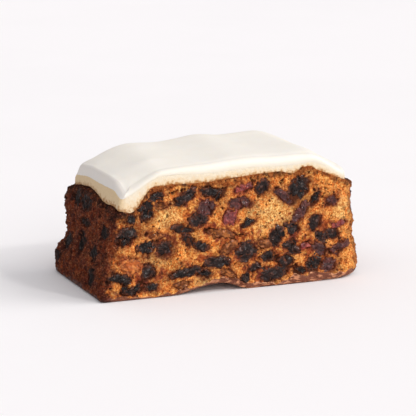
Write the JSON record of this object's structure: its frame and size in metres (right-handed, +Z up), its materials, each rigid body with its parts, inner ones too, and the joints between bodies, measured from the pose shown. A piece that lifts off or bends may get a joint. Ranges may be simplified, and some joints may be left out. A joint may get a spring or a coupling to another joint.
{
  "type": "iced fruit cake",
  "caption": "Cut bar of dark fruit cake full of raisins, sultanas and cherries, under a thin sheet of marzipan and a white iced top.",
  "frame": {"origin": "under the middle of the bar, on the surface it rests on", "axes": "+X along the bar, away from the end whose icing hangs lowest; -Y out of the long cut face in front; +Z up through the icing"},
  "size_m": [0.1366, 0.0694, 0.063],
  "materials": {
    "crumb": "torn moist cake crumb with dark fruit, browned at the ends and underneath",
    "marzipan": "soft matt almond paste, stained brown where it meets the cake",
    "icing": "smooth white sugar icing with a faint satin sheen"
  },
  "bodies": {
    "root": {"fruit_cake": "crumb", "marzipan": "marzipan", "icing": "icing"}
  },
  "joints": []
}
